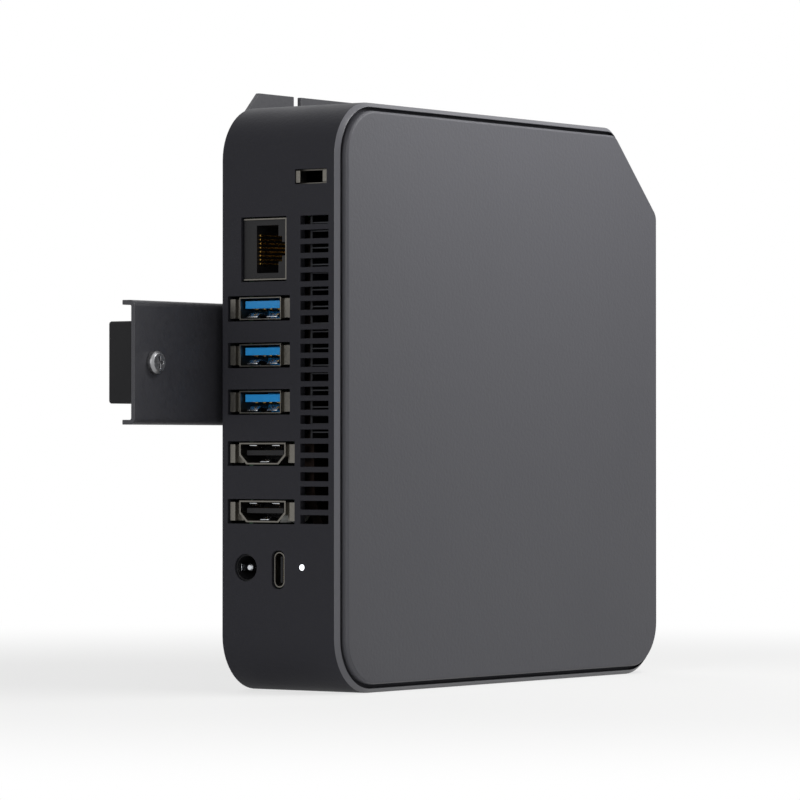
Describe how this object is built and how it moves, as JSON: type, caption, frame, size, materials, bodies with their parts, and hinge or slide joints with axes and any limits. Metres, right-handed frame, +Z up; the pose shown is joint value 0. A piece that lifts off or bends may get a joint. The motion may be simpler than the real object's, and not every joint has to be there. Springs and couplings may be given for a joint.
{
  "type": "mini pc",
  "caption": "Small square desktop computer with a raised lid, one cut-off corner and a slotted port wall, hung by shoulder screws on a folded sheet bracket for a monitor's back.",
  "frame": {"origin": "centre of the bracket's four mounting holes, on the back face that lies on the monitor", "axes": "+Y into the monitor, so the lid faces -Y; +Z up as hung; the wall with the ports faces -X and the front wall +X"},
  "size_m": [0.181, 0.0483, 0.1537],
  "materials": {
    "lid": "matt moulded plastic",
    "housing": "matt moulded plastic, near black",
    "base": "black powder-coated steel",
    "rubber": "black rubber",
    "screw_black": "black oxide",
    "screw_zinc": "bright zinc",
    "button": "matt moulded plastic",
    "switch": "board with a black switch",
    "plunger": "black plastic",
    "board": "circuit board, dark solder mask",
    "port_shell": "nickel-plated sheet",
    "port_tongue_blue": "blue moulded plastic",
    "port_tongue_black": "black moulded plastic",
    "pin": "plated pin",
    "light_pipe": "clear moulded light pipe",
    "blower": "black moulded plastic",
    "fins": "thin aluminium sheet",
    "copper": "bare copper",
    "chip": "black packages on a green board",
    "cell": "bright steel",
    "bracket": "dark grey powder coat",
    "spacer": "black rubber"
  },
  "bodies": {
    "bracket": {"bracket_plate": "bracket", "spacer_block": "spacer", "spacer_screw": "screw_black"},
    "case": {"lid_plate": "lid", "housing_shell": "housing", "deck_plate": "housing", "deck_posts": "housing", "base_cover": "base", "rubber_feet": "rubber", "base_screws": "screw_black", "power_switch_board": "switch", "mainboard": "board", "board_screws": "screw_zinc", "lan_jack_shell": "port_shell", "lan_jack_insert": "port_tongue_black", "dc_jack_body": "port_tongue_black", "dc_jack_pin": "pin", "usb_c_shell": "port_shell", "usb_c_tongue": "port_tongue_black", "usb_c_board": "board", "led_light_pipe": "light_pipe", "lock_plate": "screw_zinc", "audio_jack": "port_tongue_black", "card_slot": "port_shell", "blower_housing": "blower", "blower_cover": "blower", "fin_stack": "fins", "heat_pipe": "copper", "cold_plate": "copper", "processor": "chip", "ssd_module": "chip", "wifi_card": "chip", "card_sockets": "port_tongue_black", "card_screws": "screw_zinc", "coin_cell": "cell", "coin_cell_holder": "port_tongue_black", "wifi_antennas": "board", "shoulder_screws": "screw_zinc", "usb_rear_shell_1": "port_shell", "usb_rear_tongue_1": "port_tongue_blue", "usb_rear_shell_2": "port_shell", "usb_rear_tongue_2": "port_tongue_blue", "usb_rear_shell_3": "port_shell", "usb_rear_tongue_3": "port_tongue_blue", "usb_front_shell_1": "port_shell", "usb_front_tongue_1": "port_tongue_blue", "hdmi_shell_1": "port_shell", "hdmi_tongue_1": "port_tongue_black", "memory_module_1": "chip", "memory_socket_1": "port_tongue_black", "usb_front_shell_2": "port_shell", "usb_front_tongue_2": "port_tongue_blue", "hdmi_shell_2": "port_shell", "hdmi_tongue_2": "port_tongue_black", "memory_module_2": "chip", "memory_socket_2": "port_tongue_black"},
    "power_button": {"power_button": "button"},
    "switch_plunger": {"switch_plunger": "plunger"},
    "fan_rotor": {"blower_rotor": "blower"}
  },
  "joints": [
    {"name": "case_on_bracket", "type": "slide", "parent": "bracket", "child": "case", "axis": [0, 0, 1], "range_m": [0, 0.009]},
    {"name": "power_button_press", "type": "slide", "parent": "case", "child": "power_button", "axis": [-0.7071, 0, -0.7071], "range_m": [0, 0.0005], "stiffness_N_per_m": 500, "springref_m": -0.0004},
    {"name": "switch_plunger_press", "type": "slide", "parent": "case", "child": "switch_plunger", "axis": [-0.7071, 0, -0.7071], "range_m": [0, 0.0005]},
    {"name": "fan_spin", "type": "hinge", "parent": "case", "child": "fan_rotor", "pos_m": [0.012, -0.0388, -0.0033], "axis": [0, -1, 0], "continuous": true}
  ],
  "couplings": [
    {"joint": "switch_plunger_press", "follows": "power_button_press", "ratio": 1}
  ]
}
